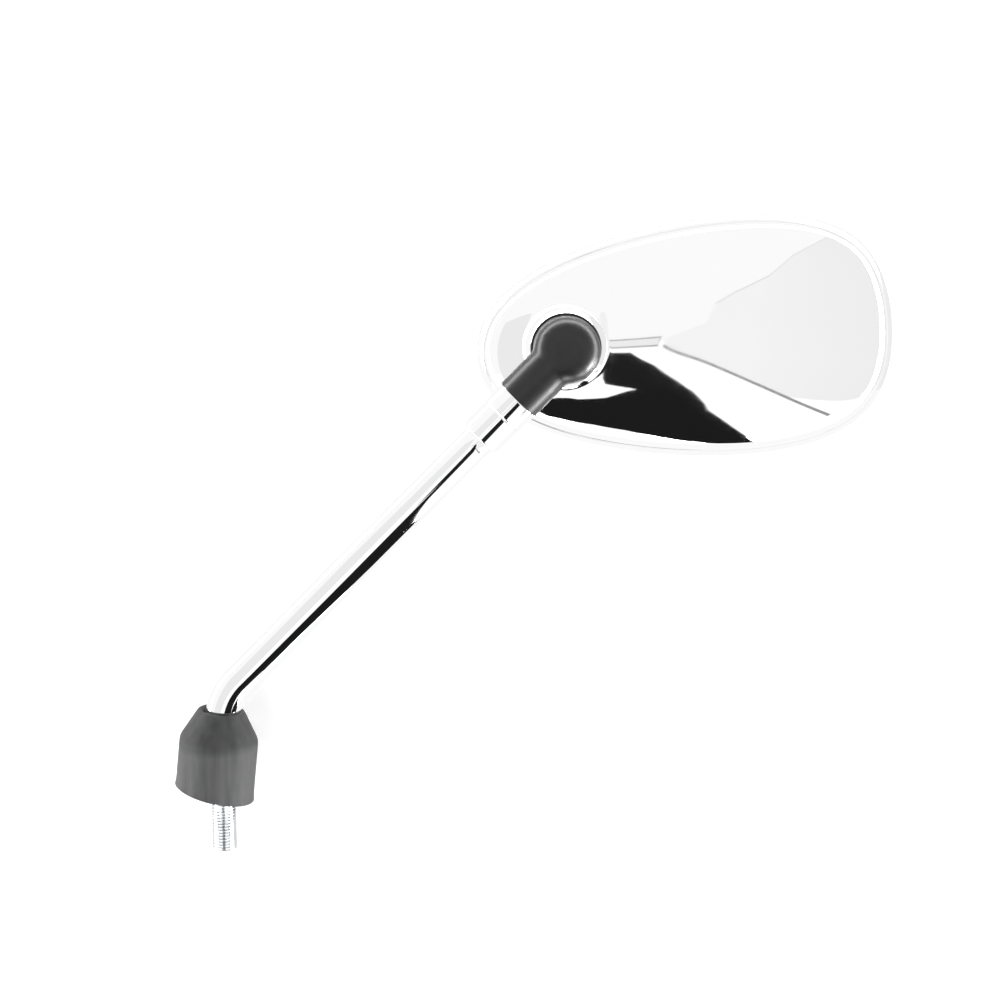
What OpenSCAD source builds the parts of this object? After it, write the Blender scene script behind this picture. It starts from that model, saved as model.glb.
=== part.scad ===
// Handlebar mirror: a chromed head on a ball joint, a black elbow cap and a bent chromed stem with a
// threaded stud. Z runs up the stud. The origin is on the stud at the clamping face. The shell faces -Y.

/* [Head outline] */
// Half of the head's length, before its ends are blunted
head_half_length = 90.1; // [84:0.1:98]
// Half of the head's height at the middle
head_half_height = 47.7; // [44:0.1:54]
// How much taller the outer end is than the middle, as a share of the half height
outline_swell = 0.23; // [0.1:0.01:0.28]
// How far the ends are blunted
outline_blunt = 5.1; // [2:0.1:7]
// How far the top edge leans towards the stem
outline_lean = 6.7; // [2:0.1:9]
// How far the outer end sits above the middle
outline_rise = 9.5; // [5:0.1:12]
// Distance from the ball to the head's near end, before it is blunted
ball_from_end = 40.4; // [38:0.1:44]
// Distance from the ball up to the middle of the head
head_mid_y = 1.2; // [-1:0.1:4]

/* [Shell] */
// Wall of the moulded shell
shell_wall = 2.2; // [1.8:0.1:2.8]
// Height of the shell's crown above its skirt
shell_crown = 16; // [14:0.5:17.5]
// Height of the skirt's top edge, measured from the ball's centre
skirt_top = -10; // [-11:0.1:-9]
// How far the boss's wall lies inside the radius of its domed face
boss_edge = 1.5; // [1:0.1:2.5]
// Radius of the boss's domed face about the ball's centre
dome_r = 18; // [17.6:0.1:18.5]
// Size of the coned foot round the boss
boss_foot = 2.5; // [1:0.5:4]
// Thickness of the ribs inside the shell
rib_wall = 1.6; // [1.2:0.1:2]
// Spacing of the ribs across the shell
rib_pitch = 30; // [20:1:40]

/* [Rim and glass] */
// Width of the rolled rim, seen from the back
rim_width = 3; // [2.6:0.1:3.6]
// Depth of the rim's front face below the ball's centre
rim_front = -18; // [-18.6:0.1:-17.6]
// Width of the rim's lip in front of the glass
lip_width = 2.2; // [1.6:0.1:3]
// Thickness of the mirror glass
glass_t = 2; // [1.6:0.1:2.2]
// Radius of curvature of the convex glass
glass_curve = 1400; // [1200:50:1800]
// Thickness of the foam pad behind the glass
pad_t = 1.2; // [0.8:0.1:1.4]

/* [Ball joint] */
// Radius of the ball
ball_r = 7.5; // [7.2:0.1:7.8]
// Radius of the ball stud's neck
neck_r = 4; // [3.6:0.1:4.2]
// Radius of the shank in the elbow core
shank_r = 3.2; // [2.8:0.1:3.4]
// Thickness of the nylon liner round the ball
liner_t = 1.8; // [1.5:0.1:2]
// Radial gap of a running fit
run_fit = 0.08; // [0.05:0.01:0.1]
// Largest turn of the head about each of the two aiming axes
aim_angle = 12; // [8:1:12]
// Radius of the circle of plate screws
screw_circle_r = 18; // [17:0.1:19]
// Radius of the plate screws
screw_r = 1.5; // [1.2:0.1:1.8]
// Thickness of the socket plate
plate_t = 1.2; // [1:0.1:1.4]

/* [Elbow] */
// Height of the elbow's axis above the ball's centre
elbow_height = 22; // [21.8:0.1:23]
// Radius of the cap's dome at its wall
cap_r = 13.2; // [12.8:0.1:13.6]
// Radius of the cap's base lip
cap_lip_r = 14.2; // [13.9:0.1:14.6]
// Radius of the rounding at the top of the cap
cap_round = 7.8; // [6:0.1:8.4]
// Wall of the cap
cap_wall = 1.5; // [1.2:0.1:1.6]
// Radius of the cap's neck
cap_neck_r = 9.3; // [9.2:0.1:9.6]
// Length of the neck from the ball's axis to the ferrule
cap_neck_reach = 27; // [25:0.5:30]
// Radius of the hollow where the neck meets the dome
cap_fillet = 4; // [3:0.1:5]

/* [Stem] */
// Outer radius of the stem tube
tube_r = 7; // [6.5:0.1:7.2]
// Wall of the stem tube
tube_wall = 1.5; // [1.2:0.1:2]
// Lean of the straight stem from the vertical
stem_lean = 44.6; // [30:0.1:55]
// Height of the bend's corner, where the two straight axes cross
corner_z = 45.9; // [44:0.1:53]
// Centreline radius of the bend
bend_r = 26; // [22:0.5:28]
// Length from the bend's corner to the ball's axis
stem_run = 197.7; // [150:0.1:260]
// Length of the chromed ferrule
ferrule_length = 9; // [8:0.5:12]
// Outer radius of the ferrule
ferrule_r = 9.2; // [8.9:0.1:9.5]
// Length of the collar below the ferrule
collar_length = 12.5; // [9:0.5:16]
// Outer radius of the collar
collar_r = 8.8; // [8:0.1:9]

/* [Stud and nut] */
// Radius of the threaded stud
stud_r = 5; // [4:0.5:5]
// Length of stud below the clamping face
stud_reach = 17; // [14:1:24]
// Height of the stud's shoulder above the clamping face
shoulder_z = 20; // [19:0.5:21]
// Height at which the washer and the nut are parked above the clamping face
nut_park = 8; // [6:0.5:8]
// Width of the lock nut across its flats
nut_flats = 17; // [15:1:17]
// Height of the lock nut
nut_height = 6; // [5:0.5:7]
// Radius of the flat washer
washer_r = 9; // [8.5:0.1:9.5]
// Thickness of the flat washer
washer_t = 1.6; // [1:0.1:2]

/* [Rubber boot] */
// Height of the boot's top edge above the clamping face
boot_top_z = 41.6; // [40:0.1:44]
// Radius of the boot's skirt
boot_r = 16; // [15.6:0.1:18]
// Radius of the boot's top rim
boot_top_r = 9.6; // [9:0.1:11]
// Height of the boot's cone
boot_cone = 11.5; // [9:0.5:14]
// Length of the boot along its own axis
boot_length = 34.3; // [32:0.1:38]
// Wall of the boot's skirt
boot_wall = 1.8; // [1.4:0.1:2]
// Lean of the boot on the stem
boot_lean = 6; // [0:0.5:6]
// Slant of the boot's lower edge against its axis
boot_slant = 9.1; // [0:0.1:12]

/* [Hidden] */

chrome = "Gainsboro";
black = [0.13, 0.13, 0.13];
steel = "LightSlateGray";
nylon = "Ivory";

round_fn = 72;
outline_steps = 44;
dome_rows = 7;
dome_power = 2.3;
seat_fit = 0.05;
bend_step = 0.01;
bend_overlap = 0.5;
join = 0.02;
boss_foot_drop = 6.5;
bore_stop = 0.3;
plate_room = 7;

// Places worked out from the driving sizes
head_mid_x = head_half_length - ball_from_end;
boss_r = dome_r - boss_edge;
stem_dir = [sin(stem_lean), 0, cos(stem_lean)];
ball_at = [stem_run * stem_dir[0], elbow_height, corner_z + stem_run * stem_dir[2]];
bend_start_z = corner_z - bend_r * tan(stem_lean / 2);
tube_end = cap_neck_reach;
ferrule_end = tube_end + ferrule_length;
collar_end = ferrule_end + collar_length;
tube_bore_r = tube_r - tube_wall;

// Ball joint: the liner's outside, the socket and the free angles of the two openings
liner_r = ball_r + run_fit + liner_t;
socket_r = liner_r + run_fit;
swing_angle = 1.42 * aim_angle + 1.5;
liner_open = asin(neck_r / (ball_r + run_fit)) + aim_angle + 2;
liner_end = 126;
socket_open = asin(neck_r / socket_r) + swing_angle;
dome_open = asin(neck_r / dome_r) + swing_angle;
cup_top = -3;
cup_back = -(liner_r - 1.2);
barrel_r = socket_r + 3;
barrel_end = cup_back - 0.3;
spring_height = 1.8;
plate_top = cup_back - spring_height;
screw_angles = [90, 210, 330];
post_r = screw_r + 2;
screw_head_h = 1;
pad_clear = 0.2;

// Glass: heights of its back at a distance from the middle of the head
glass_pole = rim_front + 0.4;
function glass_front(r) = glass_pole + r * r / (2 * glass_curve);
slot_inset = rim_width - seat_fit;
glass_inset = rim_width + 0.4;
lip_inset = rim_width + lip_width;
glass_reach = head_half_length + outline_rise + rim_width;

// Section of the rim: inset from the outline and height
rim_section = [
  [rim_width, skirt_top + 0.5], [rim_width - 1.1, skirt_top + 0.8], [0.7, skirt_top - 0.5],
  [0, skirt_top - 2.6], [0.1, rim_front + 2.8], [0.9, rim_front + 0.8], [2.2, rim_front],
  [lip_inset, rim_front + 0.2], [lip_inset, rim_front + 1.05], [slot_inset, rim_front + 1.05]
];

// Elbow cap
cap_gap = 0.3;
cap_under_r = dome_r + cap_gap;
cap_top = elbow_height + cap_neck_r + cap_gap;
cap_lip_z = sqrt(cap_under_r * cap_under_r - cap_lip_r * cap_lip_r);
cap_lip_t = sqrt(pow(cap_under_r, 2) - pow(cap_r - cap_gap, 2)) - cap_lip_z;
core_r = cap_neck_r - cap_wall - seat_fit;
eye_r = core_r + 1.25;
eye_top = elbow_height + 4;
core_heel = 4;
spigot_length = 16;
ring_t = 1.1;
pin_station = 4.5;
pin_r = 1.25;

// Foot of the tube, the plug in it and the stud
shoulder_t = 3;
tube_foot_z = shoulder_z + shoulder_t;
plug_length = 12;
thread_relief = 0.2;
chamfer = 1;

// Point of the head's outline at angle t, moved inwards by inset along the normal
function outline_raw(t) = [
  head_mid_x + head_half_length * cos(t) - outline_blunt * cos(3 * t) - outline_lean * sin(t),
  head_mid_y + head_half_height * sin(t) * (1 + outline_swell * cos(t)) + outline_rise * cos(t)
];
function outline_normal(t) =
  let (d = outline_raw(t + 1) - outline_raw(t - 1))
  [-d[1], d[0]] / norm(d);
function outline_point(t, inset) = outline_raw(t) + inset * outline_normal(t);
function outline(inset) = [
  for (i = [0 : outline_steps - 1]) outline_point(360 * i / outline_steps, inset)
];
head_mid = [head_mid_x, head_mid_y];

// Faces of a stack of rings with a closed bottom and top
function stack_faces(rows, n) = concat(
  [[for (i = [n - 1 : -1 : 0]) n - 1 - i]],
  [for (k = [0 : rows - 2]) for (i = [0 : n - 1]) [k * n + i, (k + 1) * n + i, k * n + (i + 1) % n]],
  [for (k = [0 : rows - 2]) for (i = [0 : n - 1])
    [k * n + (i + 1) % n, (k + 1) * n + i, (k + 1) * n + (i + 1) % n]],
  [[for (i = [n - 1 : -1 : 0]) (rows - 1) * n + i]]
);

// Ring of the dome at row k: the outline shrunk towards the middle and raised
function dome_ring(k, inset, crown) =
  let (
    a = 84 * k / dome_rows,
    s = pow(cos(a), 2 / dome_power),
    z = skirt_top + crown * sin(a)
  )
  [for (p = outline(inset)) let (q = head_mid + s * (p - head_mid)) [q[0], q[1], z]];
function flat_ring(inset, z) = [for (p = outline(inset)) [p[0], p[1], z]];
function flatten(rings) = [for (r = rings) for (p = r) p];

// The head lies face down on a bench: X along the head, Z out of its back, the origin in the ball's centre
module in_head() {
  translate(ball_at) rotate([90, 0, 0]) children();
}

// Along the stem's straight part, from the ball's axis down towards the bend
module along_stem() {
  translate([ball_at[0], 0, ball_at[2]]) rotate([0, 180 + stem_lean, 0]) children();
}

// Along the neck, in the head's bench frame
module along_neck() {
  translate([0, 0, elbow_height]) rotate([0, 0, 270 - stem_lean]) rotate([0, 90, 0]) children();
}

module outline_slab(inset, z0, z1) {
  translate([0, 0, z0]) linear_extrude(z1 - z0) polygon(outline(inset));
}

// Solid of the shell's outside or inside
module dome_solid(inset, crown, z0) {
  rings = concat([flat_ring(inset, z0)], [for (k = [0 : dome_rows]) dome_ring(k, inset, crown)]);
  polyhedron(flatten(rings), stack_faces(len(rings), outline_steps), convexity = 4);
}

// Cone about the Z axis with its point in the ball's centre and a given half angle, up to a height
module cone(angle, height) {
  cylinder(h = height, r1 = 0, r2 = height * tan(angle), $fn = round_fn);
}

// Curved layer that follows the glass, between two heights above its front
module glass_layer(h0, h1) {
  steps = 6;
  radii = [for (i = [0 : steps]) glass_reach * i / steps];
  translate([head_mid_x, head_mid_y, 0]) rotate_extrude($fn = round_fn) polygon(concat(
    [for (r = radii) [r, glass_front(r) + h0]],
    [for (i = [steps : -1 : 0]) [radii[i], glass_front(radii[i]) + h1]]
  ));
}

module shell_outside() {
  dome_solid(rim_width, shell_crown, rim_front);
  boss_outside();
}

// Round boss with a domed face and a coned foot
module boss_outside() {
  boss_top = sqrt(dome_r * dome_r - boss_r * boss_r);
  rotate_extrude($fn = round_fn) {
    intersection() {
      circle(r = dome_r, $fn = round_fn);
      translate([0, boss_top - 1]) square([boss_r, dome_r]);
    }
    translate([0, skirt_top]) square([boss_r, boss_top - skirt_top]);
  }
  translate([0, 0, boss_top - boss_foot_drop])
    cylinder(h = boss_foot, r1 = boss_r + boss_foot, r2 = boss_r, $fn = round_fn);
}

module screw_places() {
  for (a = screw_angles) rotate([0, 0, a]) translate([screw_circle_r, 0, 0]) children();
}

module shell() {
  color(chrome) in_head() difference() {
    shell_outside();
    difference() {
      dome_solid(rim_width + shell_wall, shell_crown - shell_wall, rim_front - 1);
      socket_barrel();
      shell_ribs();
    }
    // Room for the pad and the glass, cut to the curve of the glass
    glass_layer(-2 * glass_t, glass_t + seat_fit);
    intersection() {
      glass_layer(0, glass_t + pad_t + 2 * seat_fit);
      outline_slab(rim_width + shell_wall, rim_front, 0);
    }
    // Socket for the liner, its opening through the boss, and the bore for the pressure cup
    sphere(r = socket_r, $fn = round_fn);
    translate([0, 0, rim_front]) cylinder(h = -rim_front - bore_stop, r = socket_r + join, $fn = round_fn);
    boss_opening();
    translate([0, 0, rim_front])
      cylinder(h = plate_top - rim_front, r = screw_circle_r + plate_room, $fn = round_fn);
    screw_places() translate([0, 0, plate_top - 7]) cylinder(h = 14, r = screw_r + join, $fn = 24);
  }
}

module boss_opening() {
  z0 = socket_r * cos(socket_open);
  z1 = dome_r * cos(dome_open);
  r0 = socket_r * sin(socket_open);
  r1 = dome_r * sin(dome_open);
  grow = (r1 - r0) / (z1 - z0);
  translate([0, 0, z0 - 1]) cylinder(h = z1 - z0 + 4, r1 = r0 - grow, r2 = r1 + 3 * grow, $fn = round_fn);
}

module socket_barrel() {
  translate([0, 0, barrel_end]) cylinder(h = dome_r - barrel_end, r = barrel_r, $fn = round_fn);
  screw_places() translate([0, 0, plate_top]) cylinder(h = dome_r - plate_top, r = post_r, $fn = 32);
}

// Ribs that stiffen the shell and carry the pad
module shell_ribs() {
  height = dome_r - rim_front;
  for (x = [rib_pitch : rib_pitch : head_half_length + head_mid_x])
    translate([x - rib_wall / 2, -head_half_length, rim_front]) cube([rib_wall, 2 * head_half_length, height]);
  translate([barrel_r - 1, head_mid_y - rib_wall / 2, rim_front]) cube([2 * head_half_length, rib_wall, height]);
}

module rim() {
  m = len(rim_section);
  n = outline_steps;
  points = [for (i = [0 : n - 1]) for (s = rim_section)
    let (p = outline_point(360 * i / n, s[0])) [p[0], p[1], s[1]]];
  faces = [for (i = [0 : n - 1]) for (k = [0 : m - 1])
    let (a = i * m + k, b = i * m + (k + 1) % m, c = ((i + 1) % n) * m + k, d = ((i + 1) % n) * m + (k + 1) % m)
    for (f = [[a, b, c], [b, d, c]]) f];
  color(chrome) in_head() polyhedron(points, faces, convexity = 6);
}

module glass() {
  color("LightSteelBlue") in_head() intersection() {
    glass_layer(0, glass_t);
    outline_slab(glass_inset, rim_front, 0);
  }
}

// Foam pad behind the glass, kept clear of the socket plate and the heads of its screws
module glass_pad() {
  color(black) in_head() difference() {
    intersection() {
      glass_layer(glass_t, glass_t + pad_t);
      outline_slab(lip_inset + 0.3, rim_front, 0);
    }
    translate([0, 0, plate_top - plate_t - screw_head_h - pad_clear])
      cylinder(h = -plate_top, r = screw_circle_r + plate_room, $fn = round_fn);
  }
}

module pressure_cup() {
  bore = ball_r - 1.3;
  color(steel) in_head() rotate_extrude($fn = round_fn) difference() {
    translate([bore, cup_back]) square([socket_r - run_fit - bore, cup_top - cup_back]);
    circle(r = socket_r, $fn = round_fn);
  }
}

module disc_spring() {
  t = 0.9;
  r0 = 4.6;
  r1 = socket_r - 0.5;
  color(steel) in_head() rotate_extrude($fn = round_fn) polygon([
    [r0, plate_top], [r1, cup_back - t], [r1, cup_back], [r0, plate_top + t]
  ]);
}

module socket_plate() {
  color(steel) in_head() translate([0, 0, plate_top - plate_t]) difference() {
    linear_extrude(plate_t) {
      circle(r = screw_circle_r - 4.5, $fn = round_fn);
      for (a = screw_angles) rotate(a) {
        translate([0, -post_r - 1.5]) square([screw_circle_r, 2 * post_r + 3]);
        translate([screw_circle_r, 0]) circle(r = post_r + 1.5, $fn = 40);
      }
    }
    translate([0, 0, -1]) cylinder(h = plate_t + 2, r = 3.5, $fn = 40);
    screw_places() translate([0, 0, -1]) cylinder(h = plate_t + 2, r = screw_r + 0.1, $fn = 24);
  }
}

module plate_screws() {
  color(steel) in_head() screw_places() {
    translate([0, 0, plate_top - plate_t - screw_head_h])
      cylinder(h = screw_head_h, r = 2 * screw_r, $fn = 32);
    translate([0, 0, plate_top - plate_t - join]) cylinder(h = plate_t + 6.5, r = screw_r, $fn = 24);
  }
}

// Nylon shell round the ball, to be cut to one half
module liner_shell() {
  difference() {
    sphere(r = liner_r, $fn = round_fn);
    sphere(r = ball_r + run_fit, $fn = round_fn);
  }
}

module liner_outer() {
  color(nylon) in_head() difference() {
    liner_shell();
    cone(liner_open, 2 * liner_r);
    translate([0, 0, -2 * liner_r]) cylinder(h = 2 * liner_r + seat_fit, r = 2 * liner_r, $fn = 32);
  }
}

module liner_inner() {
  color(nylon) in_head() difference() {
    liner_shell();
    mirror([0, 0, 1]) cone(180 - liner_end, 2 * liner_r);
    translate([0, 0, -seat_fit]) cylinder(h = 2 * liner_r, r = 2 * liner_r, $fn = 32);
  }
}

module ball_stud() {
  seat = eye_bottom();
  color(steel) in_head() difference() {
    union() {
      sphere(r = ball_r, $fn = round_fn);
      cylinder(h = seat - seat_fit, r = neck_r, $fn = 48);
      cylinder(h = eye_top + ring_t + 1.6, r = shank_r, $fn = 48);
    }
    translate([0, 0, eye_top + join]) difference() {
      cylinder(h = ring_t, r = shank_r + 1, $fn = 48);
      translate([0, 0, -1]) cylinder(h = ring_t + 2, r = shank_r - 0.6, $fn = 48);
    }
  }
}

module retaining_ring() {
  color(steel) in_head() translate([0, 0, eye_top + 2 * join]) difference() {
    cylinder(h = ring_t - 2 * join, r = shank_r + 2.6, $fn = 48);
    translate([0, 0, -1]) cylinder(h = ring_t + 2, r = shank_r - 0.6 + join, $fn = 48);
    translate([0, -1.4, -1]) cube([shank_r + 4, 2.8, ring_t + 2]);
  }
}

// Height of the eye's lower face, clear of the boss
function eye_bottom() = sqrt(pow(cap_under_r + 0.2, 2) - eye_r * eye_r);

module elbow_core() {
  color(steel) in_head() difference() {
    union() {
      along_neck() translate([0, 0, -core_heel]) cylinder(h = cap_neck_reach + core_heel, r = core_r, $fn = 48);
      along_neck() cylinder(h = cap_neck_reach + spigot_length, r = tube_bore_r - seat_fit, $fn = 48);
      cylinder(h = eye_top, r = eye_r, $fn = 48);
    }
    sphere(r = cap_under_r + 0.2, $fn = round_fn);
    cylinder(h = eye_bottom(), r = eye_r + 1, $fn = 48);
    cylinder(h = cap_top, r = shank_r + run_fit, $fn = 48);
    translate([0, 0, eye_top]) cylinder(h = cap_top, r = shank_r + 3.4, $fn = 48);
    along_neck() cross_hole();
  }
}

// Hole for the cross pin, at right angles to the stem
module cross_hole() {
  translate([0, 0, tube_end + pin_station]) rotate([0, 90, 0])
    cylinder(h = 3 * tube_r, r = pin_r + join, center = true, $fn = 24);
}

module cross_pin() {
  color(steel) in_head() along_neck() translate([0, 0, tube_end + pin_station]) rotate([0, 90, 0])
    cylinder(h = 2 * tube_r - 1, r = pin_r, center = true, $fn = 24);
}

// Solid inside or outside of the cap: dome about the ball's axis and neck along the stem
module cap_form(shrink, lip) {
  r = cap_r - shrink;
  round_r = cap_round - shrink;
  top = cap_top - shrink;
  rotate_extrude($fn = round_fn) {
    square([r - round_r, top]);
    square([r, top - round_r]);
    intersection() {
      translate([r - round_r, top - round_r]) circle(r = round_r, $fn = round_fn);
      square([r, top]);
    }
  }
  if (lip) cylinder(h = cap_lip_z + cap_lip_t, r = cap_lip_r, $fn = round_fn);
}

// Hollow fillets beside the neck where it leaves the dome, drawn in plan; they start a hair inside both
module neck_flare() {
  side = cap_neck_r + cap_fillet - seat_fit;
  centre = cap_r + cap_fillet - seat_fit;
  along = sqrt(centre * centre - side * side);
  reach = cap_r / centre;
  intersection() {
    along_neck() cylinder(h = along, r = side * reach, $fn = 48);
    translate([0, 0, elbow_height - cap_neck_r]) rotate([0, 0, 270 - stem_lean])
      linear_extrude(2 * cap_neck_r) for (m = [0, 1]) mirror([0, m]) difference() {
        polygon([[0, 0], [along, 0], [along, side], [along * reach, side * reach]]);
        translate([along, side]) circle(r = cap_fillet, $fn = round_fn);
      }
  }
}

module elbow_cap() {
  color(black) in_head() difference() {
    union() {
      cap_form(0, true);
      along_neck() cylinder(h = cap_neck_reach, r = cap_neck_r, $fn = round_fn);
      neck_flare();
    }
    sphere(r = cap_under_r, $fn = round_fn);
    cylinder(h = cap_lip_z, r = cap_lip_r + 2, $fn = round_fn);
    cap_form(cap_wall, false);
    along_neck() translate([0, 0, 1]) cylinder(h = cap_neck_reach, r = core_r + seat_fit, $fn = 48);
  }
}

module stem_ring(s0, s1, r) {
  color(chrome) along_stem() translate([0, 0, s0]) difference() {
    rotate_extrude($fn = round_fn) polygon([
      [0, 0], [r, 0], [r, s1 - s0 - 0.8], [r - 0.8, s1 - s0], [0, s1 - s0]
    ]);
    translate([0, 0, -1]) cylinder(h = s1 - s0 + 2, r = tube_r + join, $fn = round_fn);
  }
}

module stem_ferrule() {
  stem_ring(tube_end, ferrule_end, ferrule_r);
}

module stem_collar() {
  stem_ring(ferrule_end, collar_end, collar_r);
}

// Solid rod along the stem's path; the straight parts run a little way into the bend and are a hair
// thinner there, so that the three surfaces never coincide
module stem_path(r, z0) {
  straight_r = r - bend_step;
  translate([0, 0, z0]) cylinder(h = bend_start_z - z0 + bend_overlap, r = straight_r, $fn = 48);
  translate([bend_r, 0, bend_start_z]) rotate([90, 0, 0]) rotate([0, 0, 180 - stem_lean])
    rotate_extrude(angle = stem_lean, $fn = 96) translate([bend_r, 0]) circle(r = r, $fn = 48);
  along_stem() translate([0, 0, tube_end])
    cylinder(h = stem_run - bend_r * tan(stem_lean / 2) - tube_end + bend_overlap, r = straight_r, $fn = 48);
}

module stem() {
  color(chrome) difference() {
    stem_path(tube_r, tube_foot_z);
    stem_path(tube_bore_r, tube_foot_z - 1);
    along_stem() translate([0, 0, tube_end - 1]) cylinder(h = 2, r = tube_bore_r, $fn = 48);
    in_head() along_neck() cross_hole();
  }
}

module threaded_stud() {
  color(steel) {
    translate([0, 0, -stud_reach]) cylinder(h = chamfer, r1 = stud_r - chamfer, r2 = stud_r, $fn = round_fn);
    translate([0, 0, chamfer - stud_reach]) cylinder(h = stud_reach - chamfer, r = stud_r, $fn = round_fn);
    cylinder(h = shoulder_z, r = stud_r - thread_relief, $fn = round_fn);
    translate([0, 0, shoulder_z]) cylinder(h = shoulder_t, r = tube_r, $fn = 48);
    translate([0, 0, shoulder_z]) cylinder(h = shoulder_t + plug_length - 1, r = tube_bore_r - seat_fit, $fn = 48);
  }
}

module flat_washer() {
  color(steel) translate([0, 0, nut_park]) difference() {
    cylinder(h = washer_t, r = washer_r, $fn = round_fn);
    translate([0, 0, -1]) cylinder(h = washer_t + 2, r = stud_r + 0.25, $fn = round_fn);
  }
}

module lock_nut() {
  corner_r = nut_flats / 2 / cos(30);
  nut_bore_r = stud_r - thread_relief + seat_fit;
  cut = 0.6;
  color(steel) translate([0, 0, nut_park + washer_t]) difference() {
    intersection() {
      cylinder(h = nut_height, r = corner_r, $fn = 6);
      rotate_extrude($fn = round_fn) polygon([
        [0, 0], [corner_r - 2 * cut, 0], [corner_r, cut], [corner_r, nut_height - cut],
        [corner_r - 2 * cut, nut_height], [0, nut_height]
      ]);
    }
    translate([0, 0, -1]) cylinder(h = nut_height + 2, r = nut_bore_r, $fn = round_fn);
  }
}

// The boot's own axis runs down from the middle of its top hole
module in_boot() {
  translate([0, 0, boot_top_z]) rotate([0, boot_lean, 0]) children();
}

module boot() {
  low = -boot_length - 4;
  inner_r = boot_r - boot_wall;
  color(black) difference() {
    in_boot() difference() {
      rotate_extrude($fn = round_fn) polygon([
        [0, low], [boot_r, low], [boot_r, -boot_cone - 1.2], [boot_r - 0.3, -boot_cone],
        [boot_top_r, -0.9], [boot_top_r - 0.8, 0], [0, 0]
      ]);
      rotate_extrude($fn = round_fn) polygon([
        [0, low - 1], [inner_r, low - 1], [inner_r, -boot_cone - 2.5], [tube_r + 1, -3.5], [0, -3.5]
      ]);
      translate([0, 0, -boot_length]) rotate([0, boot_slant, 0]) translate([0, 0, -10])
        cylinder(h = 20, r = 2 * boot_r, center = true, $fn = 32);
    }
    stem_path(tube_r + join, tube_foot_z);
  }
}

shell();
rim();
glass();
glass_pad();
pressure_cup();
disc_spring();
socket_plate();
plate_screws();
liner_outer();
liner_inner();
ball_stud();
retaining_ring();
elbow_cap();
elbow_core();
cross_pin();
stem_ferrule();
stem_collar();
stem();
boot();
threaded_stud();
flat_washer();
lock_nut();
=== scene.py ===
# %% [markdown]
# # A chromed handlebar mirror
#
# The object is a motorcycle mirror seen from its chromed back. A moulded shell carries the glass on its far
# side, a black elbow cap hides the ball joint, and a bent chromed tube runs down to a rubber boot and a
# threaded stud. The CAD model gives every size and joint. This lesson dresses it: it rebuilds the pieces
# whose surfaces catch the light, and gives every piece the finish of its real material.

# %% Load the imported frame
import math

import bmesh
import bpy
import numpy as np
from mathutils import Matrix, Vector


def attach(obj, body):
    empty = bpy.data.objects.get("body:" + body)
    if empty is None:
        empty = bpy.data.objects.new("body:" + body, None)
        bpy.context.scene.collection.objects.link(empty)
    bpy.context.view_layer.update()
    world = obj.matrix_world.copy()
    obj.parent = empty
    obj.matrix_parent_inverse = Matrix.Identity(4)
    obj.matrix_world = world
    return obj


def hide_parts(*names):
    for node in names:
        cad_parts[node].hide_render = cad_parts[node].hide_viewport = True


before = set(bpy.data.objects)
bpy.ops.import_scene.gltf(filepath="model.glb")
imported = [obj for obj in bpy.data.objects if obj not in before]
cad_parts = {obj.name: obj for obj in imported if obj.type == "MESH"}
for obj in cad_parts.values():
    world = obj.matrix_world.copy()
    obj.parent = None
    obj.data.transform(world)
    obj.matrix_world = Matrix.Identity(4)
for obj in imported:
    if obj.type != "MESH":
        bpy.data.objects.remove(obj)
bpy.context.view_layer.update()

# %% [markdown]
# ## Units and places
#
# The pieces are drawn in millimetres, each lying in its own handy position, and a matrix then carries them
# to their place in the frame. The head is drawn as on a bench: X along the head, Y up, Z out of its chromed
# back, and the ball's centre at the origin. This is easier to think in than the final frame.

# %% The frames that pieces are drawn in
MM = 0.001
LEAN = math.radians(44.6)
CORNER_Z = 45.9
STEM_RUN = 197.7
BEND_R = 26.0
ELBOW_HEIGHT = 22.0
BALL = Vector((STEM_RUN * math.sin(LEAN), ELBOW_HEIGHT, CORNER_Z + STEM_RUN * math.cos(LEAN)))

IN_HEAD = Matrix.Translation(BALL) @ Matrix.Rotation(math.radians(90), 4, "X")
ALONG_NECK = (IN_HEAD @ Matrix.Translation((0, 0, ELBOW_HEIGHT))
              @ Matrix.Rotation(math.radians(270) - LEAN, 4, "Z") @ Matrix.Rotation(math.radians(90), 4, "Y"))
ALONG_STEM = Matrix.Translation((BALL.x, 0, BALL.z)) @ Matrix.Rotation(math.radians(180) + LEAN, 4, "Y")
BOOT_TOP = 41.6
IN_BOOT = Matrix.Translation((0, 0, BOOT_TOP)) @ Matrix.Rotation(math.radians(6), 4, "Y")
print("ball centre in mm:", tuple(round(c, 2) for c in BALL))

# %% [markdown]
# ## Small helpers
#
# `piece` turns a bmesh into an object that sits at the origin, with its place in its mesh, and makes it ride
# on its body. `lathe` spins a profile once round the Z axis. `rolled` starts from a flat grid and rolls it
# into a closed band, which suits a skin that follows the head's outline. `tidy` then merges the seam and turns
# the faces outwards, because a spin leaves a double seam and may come out inside in.

# %% Turn a bmesh into a finished piece
def linked(name, data):
    """A new object round its data, linked to the scene."""
    made = bpy.data.objects.new(name, data)
    bpy.context.scene.collection.objects.link(made)
    return made


def from_bmesh(name, bm):
    """A new object whose mesh is the bmesh. The bmesh is used up."""
    mesh = bpy.data.meshes.new(name)
    bm.to_mesh(mesh)
    bm.free()
    return linked(name, mesh)


def tidy(bm):
    bmesh.ops.remove_doubles(bm, verts=bm.verts[:], dist=0.0005)
    bmesh.ops.dissolve_degenerate(bm, edges=bm.edges[:], dist=0.0002)
    bmesh.ops.recalc_face_normals(bm, faces=bm.faces[:])


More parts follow.
